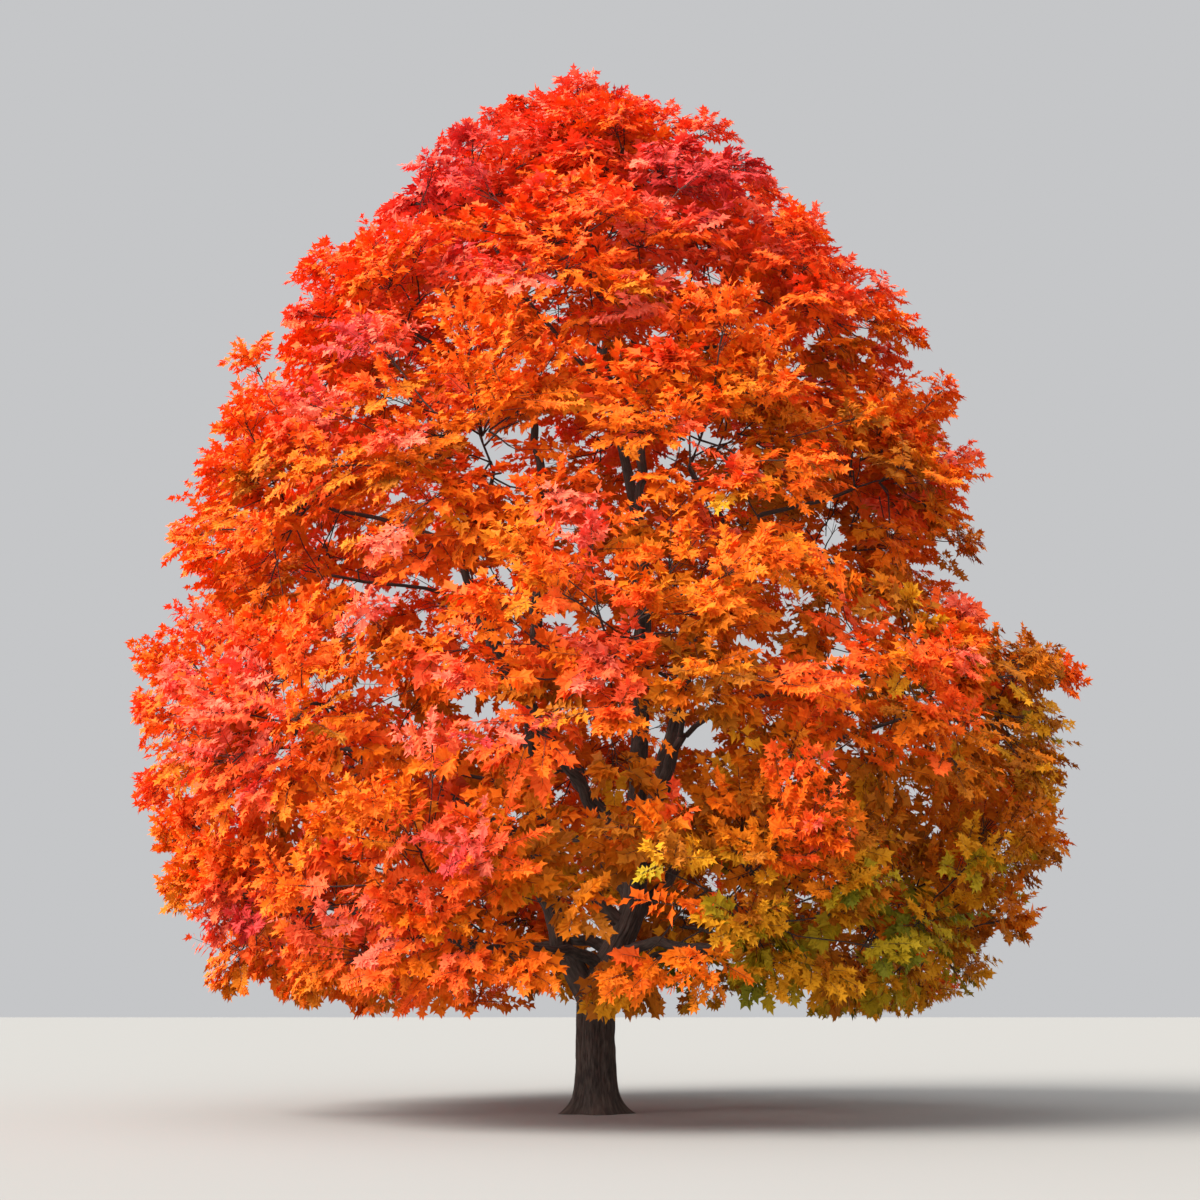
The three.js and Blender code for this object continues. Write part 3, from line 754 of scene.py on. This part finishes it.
def build_trunk(material):
    """The trunk's mesh: rings with the relief, closed at the foot and the tip."""
    heights = np.unique(np.concatenate([np.linspace(*part) for part in TRUNK_RINGS]))
    angle = np.arange(TRUNK_SIDES) * 2 * math.pi / TRUNK_SIDES
    radii = trunk_radius(heights[:, None], angle[None])
    relief = bark_relief(angle[None] / (2 * math.pi), heights[:, None], TRUNK_BARK_RADIUS, SEED)
    fade = smooth(heights, *BARK_FROM) * mix(1, BARK_HIGH_UP, smooth(heights, *BARK_FLATTENS))
    radii = radii + relief * fade[:, None]
    rim = np.stack([np.cos(angle), np.sin(angle), np.zeros_like(angle)], -1)
    rings = trunk_axis(heights)[:, None] + rim * radii[..., None]
    faces = rings_to_faces(len(heights), TRUNK_SIDES)
    first = np.arange(TRUNK_SIDES)
    after = (first + 1) % TRUNK_SIDES
    top = len(heights) * TRUNK_SIDES
    foot_cap = np.stack([np.full(TRUNK_SIDES, top + 1), after, first], -1)
    last = top - TRUNK_SIDES
    tip_cap = np.stack([np.full(TRUNK_SIDES, top), last + first, last + after], -1)
    vertices = np.concatenate([rings.reshape(-1, 3), trunk_axis(heights[-1:]), trunk_axis(heights[:1])])
    made = new_object("trunk_bark", vertices, np.concatenate([faces, foot_cap, tip_cap]), material, True)
    bark_place(made, TRUNK_TAPER[0][1], heights, TRUNK_SIDES, [-1, 0])
    place_piece(made, ["trunk"])


def build_boughs(material):
    """One mesh with the relief for each bough."""
    for n, bough in enumerate(BOUGHS):
        length = bough["curve"].length()
        t = np.linspace(0, 1, int(length / BOUGH_STEP))
        path = bough["curve"].at(t) + gnarl(t * length, length, SEED + n)
        radii = bough["radius_at"](t)
        made = bark_limb(bough["name"] + "_bark", path, radii, t * length, SEED + BARK_SEEDS * n, material)
        place_piece(made, [bough["name"]])


def gnarl(along, length, seed):
    """Small sideways bends of a limb, none at its ends."""
    rng = np.random.default_rng(seed)
    bend = np.zeros((len(along), 3))
    for wave in GNARL_WAVES:
        phase = rng.random(3) * 2 * math.pi
        bend += GNARL * wave * np.sin(along[:, None] * 2 * math.pi / wave + phase)
    fade = smooth(along, 0, GNARL_ENDS) * smooth(length - along, 0, GNARL_ENDS)
    return bend * fade[:, None]


# Stems and twigs: tubes with few sides, all in one piece

def twig_tubes(starts, ends):
    """The thin straight twigs of many sprays at once."""
    path = np.stack([starts, ends], 1)
    way = unit(ends - starts)
    side = unit(np.cross(way, ODD_WAY))
    other = np.cross(way, side)
    angle = np.arange(TWIG_SIDES)[:, None] * 2 * math.pi / TWIG_SIDES
    around = side[:, None] * np.cos(angle) + other[:, None] * np.sin(angle)
    vertices = path[:, :, None] + around[:, None] * np.array(SPRAY_TWIG_RADIUS)[:, None, None]
    first = np.arange(len(starts))[:, None, None] * 2 * TWIG_SIDES
    faces = rings_to_faces(2, TWIG_SIDES)[None] + first
    return vertices.reshape(-1, 3), faces.reshape(-1, 3)


def join_arrays(parts):
    """One array of vertices and one of faces from those of several parts."""
    vertices = []
    faces = []
    count = 0
    for part_vertices, part_faces in parts:
        vertices.append(part_vertices)
        faces.append(part_faces + count)
        count += len(part_vertices)
    return np.concatenate(vertices), np.concatenate(faces)


def stem_tubes(limbs):
    """Stems and main twigs, bent a little."""
    parts = []
    for n, (curve, (start_radius, end_radius)) in enumerate(limbs):
        length = curve.length()
        sides = STEM_SIDES if start_radius >= STEM_RADIUS[0] else TWIG_SIDES
        t = np.linspace(0, 1, max(FEWEST_RINGS, int(length / WOOD_STEP)))
        path = curve.at(t) + gnarl(t * length, length, SEED * STEM_SEEDS + n) * GNARL_OF_TWIGS
        vertices = swept(path, mix(start_radius, end_radius, t), sides)
        parts.append((vertices.reshape(-1, 3), rings_to_faces(len(path), sides)))
    return join_arrays(parts)


# Sprays of leaves

def spread_ways(count, rng):
    """Directions spread evenly over a ball, turned by chance."""
    k = np.arange(count) + 0.5
    z = 1 - 2 * k / count
    golden_section = 3 - math.sqrt(5)  # of a half turn
    turn = k * math.pi * golden_section + rng.random() * 2 * math.pi
    level = np.sqrt(1 - z * z)
    ways = np.stack([level * np.cos(turn), level * np.sin(turn), z], -1)
    return unit(ways + rng.normal(0, SPRAY_SPREAD, ways.shape))


def sprays_of(clump, size, room, index, rng):
    """Ends of the sprays' twigs round a clump, in the mass's space and the crown's outline."""
    facing = unit(outward(clump) + UP * SPRAY_UPWARD)
    ways = spread_ways(int(SPRAYS * size), rng)
    ways = ways[dot(ways, facing) > SPRAY_BACKWARD]
    radius = size * mix(*CLUMP_SIZE, rng.random()) * mix(*SPRAY_SIZE, rng.random(len(ways)))
    ball = ways * radius[:, None]
    ball[:, 2] *= CLUMP_FLATNESS
    ends = clump + ball
    kept = np.zeros(len(ends), bool)
    for cut in SPRAY_CUTS:
        tried = clump + ball * cut
        from_tip = np.linalg.norm(tried[:, :2] - TUFTS[0]["at"][:2], axis=1)
        good = in_space(tried, index, margin=SPRAY_MARGIN, room=room) & ~kept
        good &= tried[:, 2] < TIP_TOP - TIP_SLOPE * from_tip
        ends[good] = tried[good]
        kept |= good
    return ends[kept]


def all_sprays():
    """Grows every mass. Gives its limbs, and for each spray its start, its end and its clump."""
    rng = np.random.default_rng(SEED)
    limbs = []
    clumps = []
    starts = []
    ends = []
    owners = []
    parts = [(index, *grow_mass(index, rng)) for index in range(len(MASSES))]
    parts += [grow_tuft(tuft) for tuft in TUFTS]
    for index, grown, found in parts:
        limbs += grown
        for clump, fork, size, room in found:
            tips = sprays_of(clump, size, room, index, rng)
            starts.append(mix(fork, clump, rng.random((len(tips), 1))))
            ends.append(tips)
            owners.append(np.full(len(tips), len(clumps)))
            clumps.append(clump)
    return limbs, np.array(clumps), np.concatenate(starts), np.concatenate(ends), np.concatenate(owners)


def leaves_on(starts, ends, lifts, outline, lengths, rng):
    """Leaf corners for each spray: pairs along its twig and one at the end."""
    count = len(starts)
    along = unit(ends - starts)
    length = np.linalg.norm(ends - starts, axis=1)
    across = unit(np.cross(lifts, along))
    n = np.arange(SPRAY_LEAVES)
    first, span = LEAF_PLACES
    place = np.minimum(1.0, first + (n // 2) * span / (SPRAY_LEAVES // 2))
    side = np.where(n % 2 == 0, 1.0, -1.0)
    side[-1] = 1.0  # the one at the end
    shape = (count, SPRAY_LEAVES)
    angle = mix(*LEAF_ANGLES, place)[None] + rng.normal(0, LEAF_CHANCE["angle"], shape)
    angle[:, -1] = rng.normal(0, LEAF_CHANCE["last_angle"], count)
    droop = rng.uniform(*LEAF_DROOP, shape)
    way = (along[:, None] * np.cos(angle)[..., None]
           + across[:, None] * (np.sin(angle) * side[None])[..., None]
           - UP * droop[..., None])
    way = unit(way + rng.normal(0, LEAF_CHANCE["way"], shape + (3,)))
    foot = starts[:, None] + along[:, None] * (length[:, None] * place[None])[..., None]
    face = unit(lifts[:, None] + rng.normal(0, LEAF_CHANCE["face"], shape + (3,)))
    wide = unit(np.cross(way, face))
    normal = np.cross(wide, way)
    size = rng.uniform(*lengths, shape) * mix(*LEAF_SIZES, place)[None]
    base = foot + way * (STALK * size)[..., None]
    fold = rng.uniform(*LEAF_FOLD, shape)
    curl = rng.uniform(*LEAF_CURL, shape)
    x, y = outline.T
    up = fold[..., None] * np.abs(x) - curl[..., None] * np.maximum(y, 0) ** 2 - LEAF_ARCH * x ** 2
    corners = (base[..., None, :]
               + (wide[..., None, :] * x[:, None] + way[..., None, :] * y[:, None]
                  + normal[..., None, :] * up[..., None]) * size[..., None, None])
    return corners  # spray, leaf, corner, xyz


def tint_scores(clumps, ends, owners, rng):
    """Where each spray stands from 0, olive, to 1, crimson."""
    x, _, z = ends.T
    right = x / CROWN_REACH[0]
    of_clump = rng.normal(0, TINT_CHANCE["clump"], len(clumps))
    of_clump += REDDER_CLUMPS["by"] * (rng.random(len(clumps)) < REDDER_CLUMPS["share"])
    # Painted highlight: sprays on the side of their clump that faces up and out get redder tints
    painted_highlight = dot(unit(ends - clumps[owners]), unit(outward(ends) + UP * PAINTED_HIGHLIGHT_UPWARD))
    of_spray = rng.normal(0, TINT_CHANCE["spray"], len(ends))
    score = TINT_USUAL + PAINTED_HIGHLIGHT_SHIFT * painted_highlight + of_clump[owners] + of_spray
    # Redder towards the top: partly the leaves' own colour, partly painted highlight and sky reflection
    near_top = smooth(z, *TOP_RED_AND_HIGHLIGHT["height"])
    # Painted shade: tints darker towards the right, away from the key light
    score += TINT_HEIGHT * z / CROWN_TOP + TOP_RED_AND_HIGHLIGHT["by"] * near_top - PAINTED_SHADE_RIGHT * right
    score -= INSIDE_DULLER["by"] * (1 - smooth(shown_share(ends), *INSIDE_DULLER["share"]))
    low = smooth(FOOT_OLIVE["below"] - z, 0, FOOT_OLIVE["full"])
    aside = np.abs(right - FOOT_OLIVE["right"])
    score -= FOOT_OLIVE["by"] * low * smooth(FOOT_OLIVE["width"] - aside, 0, FOOT_OLIVE["edge"])
    # Olive low on the right: partly greener leaves, partly painted shade
    low = smooth(RIGHT_OLIVE_AND_PAINTED_SHADE["below"] - z, 0, RIGHT_OLIVE_AND_PAINTED_SHADE["full"])
    score -= RIGHT_OLIVE_AND_PAINTED_SHADE["by"] * smooth(right, *RIGHT_OLIVE_AND_PAINTED_SHADE["right"]) * low
    high = smooth(z, *RIGHT_TOP_REDDER["height"])
    score += RIGHT_TOP_REDDER["by"] * smooth(right, *RIGHT_TOP_REDDER["right"]) * high
    # Coral patches: redder leaves, and painted highlights on lit puffs
    return score + RED_HIGHLIGHT_BY * in_red_highlight(ends)


def in_red_highlight(p):
    """1 in the middle of a coral patch of redder leaves and painted highlight, and 0 away from them all."""
    red_highlight = np.zeros(len(p))
    for middle, radius in RED_HIGHLIGHT_PATCHES:
        away = np.linalg.norm((p - middle) * (1, RED_HIGHLIGHT_DEPTH, 1), axis=-1) / radius
        red_highlight = np.maximum(red_highlight, 1 - smooth(away, *RED_HIGHLIGHT_EDGE))
    return red_highlight


def shown_share(p):
    """How far out points lie, as a share of the crown's reach there."""
    reach = crown_reach(p[..., 2], np.arctan2(p[..., 1], p[..., 0]))
    return np.hypot(p[..., 0], p[..., 1]) / np.maximum(reach, LEAST_REACH)


def build_twigs(limbs, starts, ends, material):
    """One piece with all the wood that the masses have."""
    vertices, faces = join_arrays([stem_tubes(limbs), twig_tubes(starts, ends)])
    twigs = new_object("twigs", vertices, faces, material, True)
    place_piece(twigs, [m["name"] for m in MASSES])


def build_leaves(name, corners, one, material):
    """Pieces of leaves that have the same form and tint, each with as many faces as it may have."""
    most = MOST_FACES // len(one)
    for first in range(0, len(corners), most):
        some = corners[first:first + most]
        places = np.arange(len(some))[:, None, None] * corners.shape[1]
        faces = (one + places).reshape(-1, 3)
        made = new_object(f"{name}_{first // most + 1}", some.reshape(-1, 3), faces, material, False)
        place_piece(made, [m["name"] for m in MASSES])


def build_foliage(leaf_materials, twig_material):
    """Twigs and leaves in place of the masses: the leaves in pieces by their form and their tint."""
    limbs, clumps, starts, ends, owners = all_sprays()
    build_twigs(limbs, starts, ends, twig_material)

    rng = np.random.default_rng(SEED + 1)
    lifts = UP * LEAF_FACING["up"] + unit(ends - clumps[owners]) * LEAF_FACING["from_clump"]
    lifts = lifts + outward(ends) * LEAF_FACING["outward"] + rng.normal(0, LEAF_FACING["chance"], ends.shape)
    starts = mix(starts, ends, SPRAY_BARE)
    tint = (tint_scores(clumps, ends, owners, rng) * len(TINTS)).astype(int)
    tint = np.clip(tint, 0, len(TINTS) - 1)
    shown = (shown_share(ends) > SHOWN) | (ends[:, 2] > SHOWN_ABOVE)
    for form, (outline, faces), chosen in (("lobed", LOBED, shown), ("plain", PLAIN, ~shown)):
        sprays = (starts[chosen], ends[chosen], unit(lifts[chosen]))
        corners = leaves_on(*sprays, outline, LEAF_LENGTH[form], rng)
        for n, (name, _) in enumerate(TINTS):
            some = corners[tint[chosen] == n].reshape(-1, len(outline), 3)
            build_leaves(f"leaves_{form}_{name}", some, faces, leaf_materials[n])


# Materials

def principled(name, colour, roughness):
    """A material of one colour, and its shader."""
    material = bpy.data.materials.new(name)
    material.use_nodes = True
    shader = material.node_tree.nodes["Principled BSDF"]
    shader.inputs["Base Color"].default_value = colour
    shader.inputs["Roughness"].default_value = roughness
    return material, shader


def leaf_material(name, colour):
    material, shader = principled("leaf_" + name, srgb(colour), LEAF_ROUGHNESS)
    shader.inputs["Specular IOR Level"].default_value = LEAF_SHINE
    return material


def add_node(tree, kind, settings):
    """A shader node with its inputs set."""
    node = tree.nodes.new(kind)
    for name, value in settings.items():
        node.inputs[name].default_value = value
    return node


def bark_material():
    """Dark grey-brown, kept darker partly as painted shade from the crown, paler on the ridges, with fine
    cracks.
    """
    material, shader = principled("maple_bark", BARK_DARK + (1,), BARK_ROUGHNESS)
    tree = material.node_tree
    place = tree.nodes.new("ShaderNodeAttribute")
    place.attribute_name = "bark_place"
    stretch = add_node(tree, "ShaderNodeMapping", dict(Scale=BARK_STRETCH))
    cracks = add_node(tree, "ShaderNodeTexNoise", BARK_CRACKS)
    patches = add_node(tree, "ShaderNodeTexNoise", BARK_PATCHES)
    blend = tree.nodes.new("ShaderNodeMath")
    blend.operation = "MULTIPLY_ADD"
    blend.inputs[1].default_value = BARK_PATCHES_COUNT
    ramp = tree.nodes.new("ShaderNodeValToRGB")
    dark, light = ramp.color_ramp.elements
    dark.position, light.position = BARK_TONES
    dark.color = BARK_DARK + (1,)
    light.color = BARK_LIGHT + (1,)
    bump = add_node(tree, "ShaderNodeBump", BARK_BUMP)
    link = tree.links.new
    link(place.outputs["Vector"], stretch.inputs["Vector"])
    link(stretch.outputs["Vector"], cracks.inputs["Vector"])
    link(place.outputs["Vector"], patches.inputs["Vector"])
    link(patches.outputs["Fac"], blend.inputs[0])
    link(cracks.outputs["Fac"], blend.inputs[2])
    link(blend.outputs["Value"], ramp.inputs["Fac"])
    link(ramp.outputs["Color"], shader.inputs["Base Color"])
    link(cracks.outputs["Fac"], bump.inputs["Height"])
    link(bump.outputs["Normal"], shader.inputs["Normal"])
    return material


# Floor, light and camera

def build_stage():
    """A plain pale floor, an even sky and two soft suns."""
    far = FLOOR_REACH
    corners = np.array([(-far, -far, 0), (far, -far, 0), (far, far, 0), (-far, far, 0)], float)
    material, shader = principled("floor_pale", FLOOR_COLOUR, FLOOR_ROUGHNESS)
    shader.inputs["Specular IOR Level"].default_value = 0
    floor = new_object("floor", corners, np.array([(0, 1, 2, 3)]), material, False)
    floor.location.z = -FLOOR_BELOW

    world = bpy.data.worlds.new("studio")
    world.use_nodes = True
    background = world.node_tree.nodes["Background"]
    background.inputs["Color"].default_value = SKY_COLOUR
    background.inputs["Strength"].default_value = SKY_STRENGTH
    bpy.context.scene.world = world
    for sun in SUNS:
        add_sun(**sun)


def add_sun(name, energy, spread, colour, tipped, bearing):
    light = bpy.data.lights.new(name, "SUN")
    light.energy = energy
    light.angle = math.radians(spread)
    light.color = colour
    lamp = bpy.data.objects.new(name, light)
    lamp.rotation_euler = (math.radians(tipped), 0, math.radians(bearing))
    bpy.context.collection.objects.link(lamp)


def build_camera():
    """The photograph's view: from eye height in front of the tree, tilted up to the crown."""
    camera = bpy.data.cameras.new("camera")
    camera.sensor_width = CAMERA_SENSOR
    camera.lens = CAMERA_SENSOR / 2 / math.tan(math.radians(CAMERA_FIELD / 2))
    camera.clip_end = CAMERA_END
    holder = bpy.data.objects.new("camera", camera)
    holder.location = CAMERA_AT
    holder.rotation_euler = (math.radians(90 + CAMERA_TILT), 0, 0)
    bpy.context.collection.objects.link(holder)
    bpy.context.scene.camera = holder


def main():
    bark = bark_material()
    twig, _ = principled("twig_bark", TWIG_COLOUR + (1,), TWIG_ROUGHNESS)
    leaves = [leaf_material(name, colour) for name, colour in TINTS]
    build_trunk(bark)
    build_boughs(bark)
    build_foliage(leaves, twig)
    build_stage()
    build_camera()
    bpy.context.scene.view_settings.view_transform = "Standard"


main()
